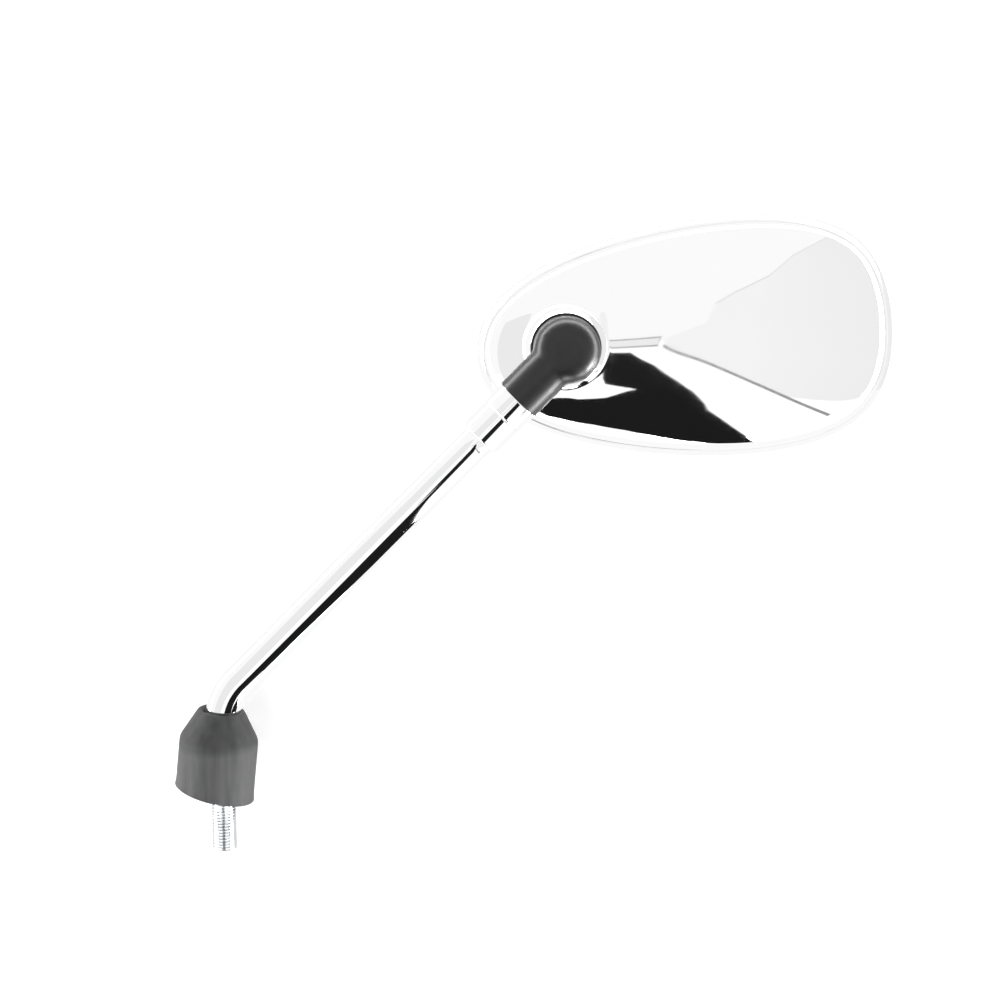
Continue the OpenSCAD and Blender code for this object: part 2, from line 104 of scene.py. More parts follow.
def piece(name, bm, matrix, body, nodes, material, smooth_angle=35):
    bmesh.ops.transform(bm, matrix=Matrix.Scale(MM, 4) @ matrix, verts=bm.verts[:])
    made = from_bmesh(name, bm)
    made.data.shade_smooth()
    made.data.set_sharp_from_angle(angle=math.radians(smooth_angle))
    made.data.materials.append(material)
    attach(made, body)
    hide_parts(*nodes)
    print(name, "has", len(made.data.polygons), "faces")
    return made


# %% Modifiers, and the mesh that they give
def walled(made, wall_mm):
    """Thickens a skin inwards."""
    wall = made.modifiers.new("wall", "SOLIDIFY")
    wall.thickness, wall.offset = wall_mm * MM, -1.0


def rounded(made, levels):
    rounding = made.modifiers.new("rounding", "SUBSURF")
    rounding.levels = rounding.render_levels = levels


def evaluated(made):
    """The mesh that an object's modifiers give. The object itself goes."""
    bpy.context.view_layer.update()
    mesh = bpy.data.meshes.new_from_object(made.evaluated_get(bpy.context.evaluated_depsgraph_get()))
    bpy.data.objects.remove(made)
    return mesh


# %% Spin a profile, and roll a grid into a band
def verts_in(geom):
    return [g for g in geom if isinstance(g, bmesh.types.BMVert)]


def lathe(bm, profile, steps=96):
    verts = [bm.verts.new((r, 0, z)) for r, z in profile]
    edges = [bm.edges.new(pair) for pair in zip(verts, verts[1:])]
    bmesh.ops.spin(bm, geom=verts + edges, axis=(0, 0, 1), cent=(0, 0, 0), angle=2 * math.pi, steps=steps,
                   use_merge=True, use_duplicate=False)


def rolled(bm, columns, rows, place):
    for v in bmesh.ops.create_grid(bm, x_segments=columns, y_segments=rows, size=1)["verts"]:
        i = round((v.co.x + 1) / 2 * columns)
        k = round((v.co.y + 1) / 2 * rows)
        v.co = place(i % columns, k)


def arc(cx, cz, r, start, end, steps):
    """Points of an arc in a profile, with angles in degrees from the radial direction."""
    angles = [math.radians(start + (end - start) * i / steps) for i in range(steps + 1)]
    return [(cx + r * math.cos(a), cz + r * math.sin(a)) for a in angles]


# %% [markdown]
# ## Camera
#
# The photograph looks at the chromed back from a little above: the boot's top opening shows as a narrow
# ellipse. A 63.5 mm lens at 0.7 m gives that view, and the whole object fits the square frame.

# %% The camera
camera_data = bpy.data.cameras.new("camera")
camera = linked("camera", camera_data)
bpy.context.scene.camera = camera
ELEVATION = math.radians(9)
TARGET = Vector((0.11262, 0, 0.12733))
DISTANCE = 0.7
LENS = 63.5
camera.location = TARGET + DISTANCE * Vector((0, -math.cos(ELEVATION), math.sin(ELEVATION)))
camera.rotation_euler = (math.radians(90) - ELEVATION, 0, 0)
camera_data.lens = LENS
print("camera at", tuple(round(c, 4) for c in camera.location))

# %% [markdown]
# ## Colours and nodes
#
# Colours are written as sRGB hex values and turned to linear light by one function. One small function adds
# a shader node with its settings and its links.

# %% Colour and node helpers
def linear(code):
    parts = [int(code[i:i + 2], 16) / 255 for i in (1, 3, 5)]
    return tuple(c / 12.92 if c <= 0.04045 else ((c + 0.055) / 1.055) ** 2.4 for c in parts) + (1.0,)


def add(tree, kind, inputs=(), **settings):
    """Adds a node. inputs maps a socket's name or number to a value or to another node's output."""
    node = tree.nodes.new(kind)
    for key, value in settings.items():
        setattr(node, key, value)
    for key, value in dict(inputs).items():
        if isinstance(value, bpy.types.NodeSocket):
            tree.links.new(value, node.inputs[key])
        else:
            node.inputs[key].default_value = value
    return node


def new_material(name):
    """An empty material and its tree with a Principled shader on the output."""
    material = bpy.data.materials.new(name)
    material.use_nodes = True
    tree = material.node_tree
    tree.nodes.clear()
    shader = add(tree, "ShaderNodeBsdfPrincipled")
    add(tree, "ShaderNodeOutputMaterial", {"Surface": shader.outputs[0]})
    return material, tree, shader


def ramp(tree, factor, stops):
    node = add(tree, "ShaderNodeValToRGB", {"Fac": factor})
    elements = node.color_ramp.elements
    for element, (position, colour) in zip(elements, stops):
        element.position, element.color = position, colour
    for position, colour in stops[2:]:
        elements.new(position).color = colour
    return node.outputs["Color"]


# %% [markdown]
# ## Chrome
#
# Chrome plating is a mirror. What the eye sees on it is the room, broken only by slow waves of the surface
# under the plating and by a fine haze of wiping marks. So the shader is fully metallic, nearly white and very
# smooth, a slow noise of some 9 mm bends the reflections a little, and a finer one varies the roughness.
# The moulded shell waves more than the turned and drawn metal pieces, so the wave's height is a setting.

# %% Plated finishes
def plated(name, colour, wave_mm, wave_height_mm, haze=(0.02, 0.06)):
    material, tree, shader = new_material(name)
    shader.inputs["Base Color"].default_value = linear(colour)
    shader.inputs["Metallic"].default_value = 1.0
    place = add(tree, "ShaderNodeTexCoord").outputs["Object"]
    wave = add(tree, "ShaderNodeTexNoise", {"Vector": place, "Scale": 1 / (wave_mm * MM), "Detail": 0.0})
    bump = add(tree, "ShaderNodeBump", {"Height": wave.outputs[0], "Strength": 1.0,
                                        "Distance": wave_height_mm * MM})
    wiping = add(tree, "ShaderNodeTexNoise", {"Vector": place, "Scale": 1 / (3 * MM), "Detail": 4.0})
    rough = add(tree, "ShaderNodeMapRange", {"Value": wiping.outputs[0], "To Min": haze[0], "To Max": haze[1]})
    tree.links.new(rough.outputs[0], shader.inputs["Roughness"])
    tree.links.new(bump.outputs[0], shader.inputs["Normal"])
    return material


chromed_abs = plated("Chromed_ABS", "#FAFAFA", 14, 0.010)
chromed_brass = plated("Chromed_brass", "#FAFAFA", 9, 0.003)
chromed_steel = plated("Chromed_steel_tube", "#FAFAFA", 12, 0.004)
print("made", chromed_abs.name, chromed_brass.name, chromed_steel.name)

# %% [markdown]
# ## Rubber, elastomer and the other finishes
#
# The cap is a satin black elastomer: a fine moulded grain, about a third of a millimetre, breaks its
# highlights softly. The boot is matt EPDM rubber. It is greyer, because it scatters light, with faint streaks
# from the mould that run along it. Its cone above is painted darker than its skirt, as painted shade for the
# light that falls less on the cone. The zinc-plated steel is a bright grey metal. Nylon, foam, cast zinc and
# phosphated spring steel sit inside, and get their own plain grain.

# %% Satin elastomer and matt rubber
def grained(name, dark, pale, rough, grain_mm, grain_height_mm, metallic=0.0, patch_mm=6.0, stretch=(1, 1, 1),
            painted_shade_above=None):
    """A moulded or cast finish: slow patches of colour and a fine grain in relief. The last argument, two
    heights in millimetres and a share, adds painted shade: the colour falls to that share between the heights,
    darker above."""
    material, tree, shader = new_material(name)
    shader.inputs["Metallic"].default_value = metallic
    shader.inputs["Roughness"].default_value = rough
    place = add(tree, "ShaderNodeTexCoord").outputs["Object"]
    drawn = add(tree, "ShaderNodeMapping", {"Vector": place, "Scale": stretch}).outputs[0]
    patches = add(tree, "ShaderNodeTexNoise", {"Vector": drawn, "Scale": 1 / (patch_mm * MM), "Detail": 5.0})
    colour = ramp(tree, patches.outputs[0], [(0.3, linear(dark)), (0.7, linear(pale))])
    grain = add(tree, "ShaderNodeTexNoise", {"Vector": place, "Scale": 1 / (grain_mm * MM), "Detail": 2.0})
    bump = add(tree, "ShaderNodeBump", {"Height": grain.outputs[0], "Strength": 1.0,
                                        "Distance": grain_height_mm * MM})
    # Painted shade: above a height the colour darkens, standing in for the shade on a surface that gets less
    # light.
    if painted_shade_above is not None:
        low, high, share = painted_shade_above
        level = add(tree, "ShaderNodeSeparateXYZ", {0: place})
        painted_shade = add(tree, "ShaderNodeMapRange", {"Value": level.outputs["Z"], "From Min": low * MM,
                                                "From Max": high * MM, "To Min": 1.0, "To Max": share})
        colour = add(tree, "ShaderNodeVectorMath", {0: colour, 1: painted_shade.outputs[0]},
                     operation="MULTIPLY").outputs[0]
    tree.links.new(colour, shader.inputs["Base Color"])
    tree.links.new(bump.outputs[0], shader.inputs["Normal"])
    return material


satin_elastomer = grained("Satin_black_elastomer", "#0F0F0F", "#151515", 0.35, 0.35, 0.012)
# The boot's cone gets painted shade: its colour is darker above 25.5 mm than on the skirt.
epdm_rubber = grained("Matt_EPDM_rubber", "#3E3E3F", "#5B5B5C", 0.72, 0.3, 0.03, patch_mm=4,
                      stretch=(1, 1, 0.12), painted_shade_above=(25.5, 28.5, 0.55))
foam = grained("Closed_cell_foam", "#17171A", "#202023", 0.95, 0.4, 0.12)
nylon = grained("Natural_nylon", "#DAD4C4", "#E2DDCF", 0.42, 0.5, 0.004)
cast_zinc = grained("Die_cast_zinc", "#8E9092", "#9C9EA0", 0.45, 0.4, 0.02, metallic=1.0)
spring_steel = grained("Phosphated_spring_steel", "#3B3C3F", "#4A4B4E", 0.4, 0.2, 0.006, metallic=1.0)
zinc_steel = grained("Zinc_plated_steel", "#D2D5D8", "#E2E4E6", 0.2, 0.25, 0.004, metallic=1.0)
bright_steel = grained("Bright_turned_steel", "#B9BBBE", "#C6C8CA", 0.22, 0.2, 0.003, metallic=1.0)

# %% [markdown]
# ## Mirror glass
#
# The glass is silvered on its back and faces away from the camera. A clear coat over a smooth metal gives
# the two layers: the coat is the glass, and the metal the silver with its slight green-blue cast.

# %% Silvered glass
mirror_glass, glass_tree, glass_shader = new_material("Silvered_mirror_glass")
glass_shader.inputs["Metallic"].default_value = 1.0
glass_shader.inputs["Roughness"].default_value = 0.02
glass_shader.inputs["Coat Weight"].default_value = 1.0
glass_shader.inputs["Coat Roughness"].default_value = 0.01
glass_place = add(glass_tree, "ShaderNodeTexCoord").outputs["Object"]
tint = add(glass_tree, "ShaderNodeTexNoise", {"Vector": glass_place, "Scale": 1 / (30 * MM), "Detail": 1.0})
glass_tree.links.new(ramp(glass_tree, tint.outputs[0], [(0.3, linear("#D6DEE2")), (0.7, linear("#DCE3E6"))]),
                     glass_shader.inputs["Base Color"])

# %% [markdown]
# ## The head's outline
#
# Seen from the back the head is a blunt teardrop, wider at its outer end. The outline is a closed curve with
# a few harmonics of one angle, so it has no corners and its curvature flows. `outline` gives the curve moved
# inwards by an amount, which is how the rim, the shell and the glass share one shape.

# %% The outline curve
HEAD_MID = np.array([49.7, 1.2])
HALF_LENGTH, HALF_HEIGHT = 90.1, 47.7
BLUNTNESS, SKEW, TAPER, SLOPE = 5.1, 6.7, 0.23, 9.5


def outline(angles, inset=0.0):
    t = np.asarray(angles, float)
    x = HEAD_MID[0] + HALF_LENGTH * np.cos(t) - BLUNTNESS * np.cos(3 * t) - SKEW * np.sin(t)
    y = HEAD_MID[1] + HALF_HEIGHT * np.sin(t) * (1 + TAPER * np.cos(t)) + SLOPE * np.cos(t)
    dx = -HALF_LENGTH * np.sin(t) + 3 * BLUNTNESS * np.sin(3 * t) - SKEW * np.cos(t)
    dy = HALF_HEIGHT * (np.cos(t) + TAPER * np.cos(2 * t)) - SLOPE * np.sin(t)
    length = np.hypot(dx, dy)
    return np.stack([x - inset * dy / length, y + inset * dx / length], -1)


RIM_WIDTH = 3.0
RIM_FRONT = -18.0
SKIRT_TOP = -10.0
CROWN = 16.0
turns = np.linspace(0, 2 * math.pi, 241)[:-1]
print("head is", np.round(np.ptp(outline(turns), axis=0), 1), "mm")

# %% [markdown]
# ## The shell
#
# The shell is one moulding: a shallow dome, a round boss for the ball joint, and a hollow foot where the two
# flow together. Chrome shows every ripple, so the skin is laid out as spokes from the boss to the edge, with
# rings that crowd where the form turns quickly. Along each spoke the raw profile is boss face, boss wall,
# dome and skirt. It is then smoothed along its own length, a little at the boss's edge and much more at its
# foot, so the fillet fades out by itself where the boss hardly stands above the dome.

# %% The shell's raw profile along one spoke
BOSS_R = 16.5
FACE_R = 18.0
EDGE_ANGLE = math.asin(BOSS_R / FACE_R)
OPENING = math.radians(33.4)
SHELL_WALL = 2.2

dense = np.linspace(0, 2 * math.pi, 4001)
edge_curve = outline(dense, RIM_WIDTH)
edge_from_mid = edge_curve - HEAD_MID
mid_angle = np.unwrap(np.arctan2(edge_from_mid[:, 1], edge_from_mid[:, 0]))
mid_reach = np.hypot(edge_from_mid[:, 0], edge_from_mid[:, 1])


def dome_height(points):
    """Height of the plain dome over points of the bench plane."""
    d = points - HEAD_MID
    angle = np.arctan2(d[:, 1], d[:, 0])
    angle = mid_angle[0] + (angle - mid_angle[0]) % (2 * math.pi)
    share = np.clip(np.hypot(d[:, 0], d[:, 1]) / np.interp(angle, mid_angle, mid_reach), 0, 1)
    return SKIRT_TOP + CROWN * np.sqrt(1 - share ** 2.3)


# Round the boss the skin stands above the dome. Each row is an angle from the head's axis in degrees, how far
# that reaches, how high it is and over what width it comes down.
FOOT = np.array([(-180, 16.6, 0.8, 0.5), (-130, 16.6, 0.4, 0.4), (-30, 16.6, 0.3, 0.4), (10, 16.8, 0.4, 0.6),
                 (28, 17.6, 0.6, 1.2), (45, 20.5, 0.9, 1.8), (65, 19.5, 1.1, 1.4), (90, 17.8, 1.1, 0.9),
                 (130, 16.9, 1.0, 0.6), (180, 16.6, 0.8, 0.5)])


def foot_height(way, r):
    """How far the skin stands above the plain dome at distances r from the ball's axis."""
    at = math.degrees(math.atan2(way[1], way[0]))
    spread = np.arange(-12, 13)
    near = (at + spread + 180) % 360 - 180
    weights = np.exp(-0.5 * (spread / 5) ** 2)
    extent, height, width = ((np.interp(near, FOOT[:, 0], FOOT[:, i]) * weights).sum() / weights.sum()
                             for i in (1, 2, 3))
    return height * 0.5 * (1 + np.tanh((extent - r) / width))


def spoke_profile(end):
    """Raw profile from the boss's opening to the skirt, as (radius, height) along the spoke to that point."""
    reach = np.hypot(*end)
    way = np.asarray(end) / reach
    face = np.linspace(OPENING, EDGE_ANGLE, 60)
    parts = [np.stack([FACE_R * np.sin(face), FACE_R * np.cos(face)], -1)]
    r = BOSS_R + (reach - BOSS_R) * np.sin(np.linspace(0, math.pi / 2, 500))
    skin = dome_height(r[:, None] * way) + foot_height(way, r)
    foot = skin[0]
    wall = np.linspace(FACE_R * math.cos(EDGE_ANGLE), foot, 40)[1:]
    parts.append(np.stack([np.full(39, BOSS_R), wall], -1))
    parts.append(np.stack([r[1:], skin[1:]], -1))
    parts.append(np.stack([np.full(30, reach), np.linspace(SKIRT_TOP, RIM_FRONT + 0.5, 31)[1:]], -1))
    return way, np.concatenate(parts), wall[0] - foot


# %% Smooth each profile and place the rings
def smoothed(end, shares):
    way, raw, drop = spoke_profile(end)
    s = np.concatenate([[0], np.cumsum(np.hypot(*np.diff(raw, axis=0).T))])
    even = np.linspace(0, s[-1], 1400)
    line = np.stack([np.interp(even, s, raw[:, 0]), np.interp(even, s, raw[:, 1])], -1)
    edge = FACE_R * (EDGE_ANGLE - OPENING)
    foot = edge + drop
    near, middle = foot + 14, s[-1] - 9.5
    knots = [0, edge - 1, edge + 1, near, middle, s[-1]]
    at = np.interp(shares, [0, 0.1, 0.2, 0.55, 0.85, 1], knots)
    blur = 0.30 + 0.15 * np.exp(-((at - edge) / 1.5) ** 2)
    foot_blur = 0.45 * np.exp(-((at - foot) / 1.5) ** 2)
    blur = np.maximum(blur, np.minimum(foot_blur, 0.32 + 0.42 * np.abs(at - edge)))
    weights = np.exp(-0.5 * ((even[None, :] - at[:, None]) / blur[:, None]) ** 2)
    weights /= weights.sum(1, keepdims=True)
    out = weights @ line
    out[0], out[-1] = line[0], line[-1]
    return [Vector((way[0] * r, way[1] * r, z)) for r, z in out]


SHELL_RINGS = 96
shell_net = [smoothed(end, np.linspace(0, 1, SHELL_RINGS + 1)) for end in outline(turns, RIM_WIDTH)]
bm = bmesh.new()
rolled(bm, len(turns), SHELL_RINGS, lambda i, k: shell_net[i][k])
tidy(bm)
shell = piece("chromed_shell", bm, IN_HEAD, "head", ["shell"], chromed_abs, 60)
walled(shell, SHELL_WALL)

# %% [markdown]
# ## The rim
#
# The rim is a rolled chromed bead that clips over the shell's skirt and holds the glass with its front lip.
# Its section is a closed loop of a few points, carried once round the outline. Subdivision then rounds it,
# apart from its crest, which is creased and so stays a crisp line.

# %% The rim
CREST = (2.55, -9.4)
RIM_SECTION = [(3.8, -9.9), (3.5, -9.42), CREST, (0.75, -11.35), (0.1, -12.6), (0.05, -15.0), (0.55, -16.9),
               (1.6, -17.85), (3.0, -18.0), (4.6, -17.95), (5.2, -17.6), (5.2, -17.1), (4.6, -16.95),
               (3.2, -16.95), (3.2, -13.0)]
columns = [outline(turns, inset) for inset, _ in RIM_SECTION]
bm = bmesh.new()
rows = len(RIM_SECTION)
rolled(bm, len(turns), rows, lambda i, k: Vector((*columns[k % rows][i], RIM_SECTION[k % rows][1])))
tidy(bm)
crease = bm.edges.layers.float.new("crease_edge")
for edge in bm.edges:
    if all(abs(v.co.z - CREST[1]) < 0.001 for v in edge.verts):
        edge[crease] = 1.0
rim = piece("chromed_rim", bm, IN_HEAD, "head", ["rim"], chromed_abs, 24)
rounded(rim, 2)

# %% [markdown]
# ## The glass
#
# The mirror glass is slightly convex. It is drawn as a net of shrunken outlines, front and back, with a
# ground edge between them.

# %% The glass
GLASS_CURVE = 1400.0
GLASS_PLAY = 0.4
GLASS_SHARES = [(0, 0), (0.25, 0), (0.5, 0), (0.75, 0), (0.9, 0), (0.975, 0), (0.995, 0), (1, 0.25), (1, 1.75),
                (0.995, 2), (0.9, 2), (0.5, 2), (0, 2)]
glass_edge = outline(turns, RIM_WIDTH + GLASS_PLAY)


def glass_point(i, k):
    share, height = GLASS_SHARES[k]
    x, y = HEAD_MID + share * (glass_edge[i] - HEAD_MID)
    sag = ((x - HEAD_MID[0]) ** 2 + (y - HEAD_MID[1]) ** 2) / (2 * GLASS_CURVE)
    return Vector((x, y, RIM_FRONT + GLASS_PLAY + sag + height))


bm = bmesh.new()
rolled(bm, len(turns), len(GLASS_SHARES) - 1, glass_point)
tidy(bm)
piece("mirror_glass", bm, IN_HEAD, "head", ["glass"], mirror_glass, 30)

# %% [markdown]
# ## The elbow cap
#
# The cap is a soft moulding: a dome with a rounded shoulder and a neck that leaves it sideways, with a hollow
# fillet between them. The dome is spun and the neck is a circle extruded sideways; they are joined in one
# volume and given a single skin by a voxel remesh.
# Smoothing the skin only near the joint makes the fillet. Two cuts then leave crisp edges at the base and at
# the neck's end, and a small lip is spun for the base.

# %% One skin for the dome and the neck
CAP_R, CAP_ROUND, CAP_TOP = 13.2, 7.8, 31.6
NECK_R, NECK_REACH = 9.3, 27.0
LIP_Z, LIP_R, LIP_T = 11.55, 14.2, 1.4
CAP_WALL, VOXEL, FILLET_REACH = 1.4, 0.36, 4.4
SKIN_STEPS, FILLET_STEPS = 4, 60
bm = bmesh.new()
shoulder = arc(CAP_R - CAP_ROUND, CAP_TOP - CAP_ROUND, CAP_ROUND, 0, 90, 16)
lathe(bm, [(0, 8), (CAP_R, 8)] + shoulder + [(0, CAP_TOP)])
neck = bmesh.ops.create_circle(bm, cap_ends=True, radius=NECK_R, segments=72)["verts"]
neck_faces = list({f for v in neck for f in v.link_faces})
neck_end = verts_in(bmesh.ops.extrude_face_region(bm, geom=neck_faces)["geom"])
bmesh.ops.translate(bm, vec=(0, 0, NECK_REACH + 3), verts=neck_end)
bmesh.ops.transform(bm, matrix=IN_HEAD.inverted() @ ALONG_NECK, verts=list(set(neck) | set(neck_end)))
tidy(bm)
raw = from_bmesh("cap_volume", bm)
skin = raw.modifiers.new("skin", "REMESH")
skin.mode, skin.voxel_size = "VOXEL", VOXEL
skinned = evaluated(raw)
print("cap skin has", len(skinned.polygons), "faces")

# %% The fillet, the cuts and the lip
neck_way = (IN_HEAD.inverted() @ ALONG_NECK).to_3x3() @ Vector((0, 0, 1))


def joint_share(co):
    """1 where the neck meets the dome, 0 away from it."""
    along = Vector((co.x, co.y, 0)).dot(neck_way)
    if along <= 0:
        return 0.0
    from_neck = (co - Vector((0, 0, ELBOW_HEIGHT)) - neck_way * along).length
    from_dome = math.hypot(co.x, co.y)
    gap = math.hypot(max(0, from_neck - NECK_R), max(0, from_dome - CAP_R))
    return max(0.0, 1 - gap / FILLET_REACH)


def smooth(bm, verts, steps):
    for step in range(steps):
        bmesh.ops.smooth_vert(bm, verts=verts, factor=0.5, use_axis_x=True, use_axis_y=True, use_axis_z=True)


def cut_below(bm, place, way):
    """Cuts off what lies below a plane, where way is up, and returns the cut's edges and vertices."""
    return bmesh.ops.bisect_plane(bm, geom=bm.verts[:] + bm.edges[:] + bm.faces[:], plane_co=place,
                                  plane_no=way, clear_inner=True)["geom_cut"]


bm = bmesh.new()
bm.from_mesh(skinned)
smooth(bm, bm.verts[:], SKIN_STEPS)
smooth(bm, [v for v in bm.verts if joint_share(v.co) > 0.15], FILLET_STEPS)
cut_below(bm, (0, 0, LIP_Z), (0, 0, 1))
cut_below(bm, neck_way * NECK_REACH, -neck_way)
cap = piece("elbow_cap_skin", bm, IN_HEAD, "stem", ["elbow_cap"], satin_elastomer, 50)
walled(cap, CAP_WALL)

bm = bmesh.new()
lathe(bm, [(CAP_R - 1.2, LIP_Z), (LIP_R - 0.3, LIP_Z)] + arc(LIP_R - 0.35, LIP_Z + 0.35, 0.35, -90, 0, 4)
      + arc(LIP_R - 0.5, LIP_Z + LIP_T - 0.5, 0.5, 0, 90, 5)
      + [(CAP_R - 0.2, LIP_Z + LIP_T), (CAP_R - 1.2, LIP_Z)])
tidy(bm)
piece("elbow_cap_lip", bm, IN_HEAD, "stem", ["elbow_cap"], satin_elastomer, 50)

# %% [markdown]
# ## The stem
#
# The stem is a drawn steel tube, bent once and then chromed. A circle is extruded up from the stud, spun
# through the bend about its centre, and extruded along the straight run. The spin keeps the section exactly
# round in the bend, as a mandrel does.

# %% The bent tube
TUBE_R, TUBE_WALL, TUBE_FOOT = 7.0, 1.5, 23.0
tangent = BEND_R * math.tan(LEAN / 2)


def edges_between(verts):
    group = set(verts)
    return [e for v in verts for e in v.link_edges if set(e.verts) <= group]


def grow(bm, verts, vec):
    """Extrudes an open ring and returns the new ring's vertices."""
    ring = verts_in(bmesh.ops.extrude_edge_only(bm, edges=list(set(edges_between(verts))))["geom"])
    bmesh.ops.translate(bm, vec=vec, verts=ring)
    return ring


bm = bmesh.new()
ring = bmesh.ops.create_circle(bm, radius=TUBE_R, segments=96)["verts"]
bmesh.ops.translate(bm, vec=(0, 0, TUBE_FOOT), verts=ring)
for step in range(2):
    ring = grow(bm, ring, (0, 0, (CORNER_Z - tangent - TUBE_FOOT) / 2))
bend = bmesh.ops.spin(bm, geom=ring + list(set(edges_between(ring))), cent=(BEND_R, 0, CORNER_Z - tangent),
                      axis=(0, 1, 0), angle=LEAN, steps=40, use_duplicate=False)["geom_last"]
ring = verts_in(bend)
run = STEM_RUN - tangent - NECK_REACH
for step in range(6):
    ring = grow(bm, ring, Vector((math.sin(LEAN), 0, math.cos(LEAN))) * run / 6)
tidy(bm)
stem = piece("chromed_stem", bm, Matrix.Identity(4), "stem", ["stem"], chromed_steel, 60)
walled(stem, TUBE_WALL)

# %% [markdown]
# ## Ferrule and collar
#
# Two turned rings close the joint between the tube and the cap's neck. Their small rounded edges are what
# makes a turned piece read as solid metal, so they are in the profile. A point of the wall close to each edge
# keeps the wall's smoothed normals straight, and with them its reflections.

# %% The two rings
RING_EDGE, RING_BORE = 0.45, TUBE_R + 0.02


def turned_ring(name, node, start, end, radius):
    bm = bmesh.new()
    e = RING_EDGE
    lathe(bm, [(RING_BORE, start), (radius - e, start)] + arc(radius - e, start + e, e, -90, 0, 5)
          + [(radius, start + 1.4 * e), (radius, end - 1.4 * e)] + arc(radius - e, end - e, e, 0, 90, 5)
          + [(RING_BORE, end), (RING_BORE, start)])
    tidy(bm)
    piece(name, bm, ALONG_STEM, "stem", [node], chromed_brass, 40)


turned_ring("chromed_ferrule", "stem_ferrule", 27.0, 36.0, 9.2)
turned_ring("chromed_collar", "stem_collar", 36.0, 48.5, 8.8)

# %% [markdown]
# ## The rubber boot
#
# The boot is a soft cone over a short skirt. It sits a little crooked on the bend, and its lower edge is cut
# at a slant with a slight outward lip. It is spun straight, with rows down its skirt, and the rows are then
# sheared more and more towards the lower edge, so that the wall stays smooth.

# %% The boot
BOOT_LENGTH, SHEAR_FROM, SLANT = 34.3, 14, math.tan(math.radians(9.1))
outer = [(7.35, -1.2), (7.9, -0.35), (8.7, -0.05), (9.35, -0.3), (9.75, -0.9), (10.3, -1.9), (12.0, -5.0),
         (14.3, -9.1), (15.2, -10.7), (15.65, -11.8), (15.85, -13.0), (15.86, -16), (15.86, -20), (15.86, -24),
         (15.86, -28), (15.88, -31.5), (16.0, -33.5), (16.15, -34.1), (16.2, -34.28), (16.05, -34.34),
         (15.5, -34.3)]
inner = [(14.4, -34.2), (14.2, -33.6), (14.2, -30), (14.2, -20), (14.2, -14.2), (13.2, -12), (8.6, -4.2),
         (7.3, -3.0), (7.1, -1.8), (7.35, -1.2)]
bm = bmesh.new()
lathe(bm, outer + inner, steps=128)
tidy(bm)
for v in bm.verts:
    share = min(1.0, max(0.0, (-v.co.z - SHEAR_FROM) / (BOOT_LENGTH - SHEAR_FROM)))
    v.co.z -= v.co.x * SLANT * share
boot = piece("rubber_boot", bm, IN_BOOT, "stem", ["boot"], epdm_rubber, 60)
rounded(boot, 1)

# %% [markdown]
# ## Stud, nut and washer
#
# The stud has an M10 thread with a pitch of 1.25 mm. One tooth of the thread is a short profile line. Spun
# with a steady climb of one pitch a turn, each turn's lower edge meets the upper edge of the turn before it,
# and merging the doubles makes one helical skin. Two cuts trim it.

# %% The threaded stud
PITCH, STUD_R, THREAD_DEPTH = 1.25, 4.98, 0.72
TURNS, PER_TURN, THREAD_START, THREAD_ENDS = 31, 40, -18.5, (-16.6, 19.9)
bm = bmesh.new()
tooth = [(STUD_R - THREAD_DEPTH, 0), (STUD_R - THREAD_DEPTH, 0.16), (STUD_R - 0.04, 0.56), (STUD_R, 0.62),
         (STUD_R, 0.72), (STUD_R - 0.04, 0.78), (STUD_R - THREAD_DEPTH, PITCH)]
verts = [bm.verts.new((r, 0, z + THREAD_START)) for r, z in tooth]
edges = [bm.edges.new(pair) for pair in zip(verts, verts[1:])]
bmesh.ops.spin(bm, geom=verts + edges, axis=(0, 0, 1), cent=(0, 0, 0), dvec=(0, 0, PITCH / PER_TURN),
               angle=2 * math.pi * TURNS, steps=TURNS * PER_TURN, use_duplicate=False)
bmesh.ops.remove_doubles(bm, verts=bm.verts[:], dist=0.004)
for height, keep in zip(THREAD_ENDS, (1, -1)):
    cut = cut_below(bm, (0, 0, height), (0, 0, keep))
    bmesh.ops.holes_fill(bm, edges=[g for g in cut if isinstance(g, bmesh.types.BMEdge)], sides=0)
bmesh.ops.recalc_face_normals(bm, faces=bm.faces[:])
print("thread skin", len(bm.faces), "faces, open edges:", sum(e.is_boundary for e in bm.edges))
lathe(bm, [(0, -17), (3.9, -17), (4.3, -16.6), (4.3, -16.2), (0, -16.2)], steps=48)
lathe(bm, [(0, 19.8), (6.4, 19.8), (6.95, 20.3), (6.95, 22.98), (5.4, 23.0), (5.4, 33.5), (5.0, 34.0),
           (0, 34.0)], steps=64)
bmesh.ops.remove_doubles(bm, verts=bm.verts[:], dist=0.0005)
piece("threaded_stud_m10", bm, Matrix.Identity(4), "stem", ["threaded_stud"], zinc_steel)

# %% The lock nut and its washer
ACROSS_FLATS, NUT_BORE, NUT_CORNER, NUT_FACE = 17.0, 5.05, 9.9, 8.5
NUT_LOW, NUT_HIGH, NUT_CHAMFER, WASHER_LOW = 9.6, 15.6, 0.8, 8.0
bm = bmesh.new()
hexagon = bmesh.ops.create_circle(bm, cap_ends=True, radius=ACROSS_FLATS / 2 / math.cos(math.radians(30)),
                                  segments=6)["verts"]
bmesh.ops.translate(bm, vec=(0, 0, NUT_LOW), verts=hexagon)
up = bmesh.ops.extrude_face_region(bm, geom=list({f for v in hexagon for f in v.link_faces}))["geom"]
bmesh.ops.translate(bm, vec=(0, 0, NUT_HIGH - NUT_LOW), verts=verts_in(up))
bmesh.ops.recalc_face_normals(bm, faces=bm.faces[:])
blank = from_bmesh("nut_blank", bm)

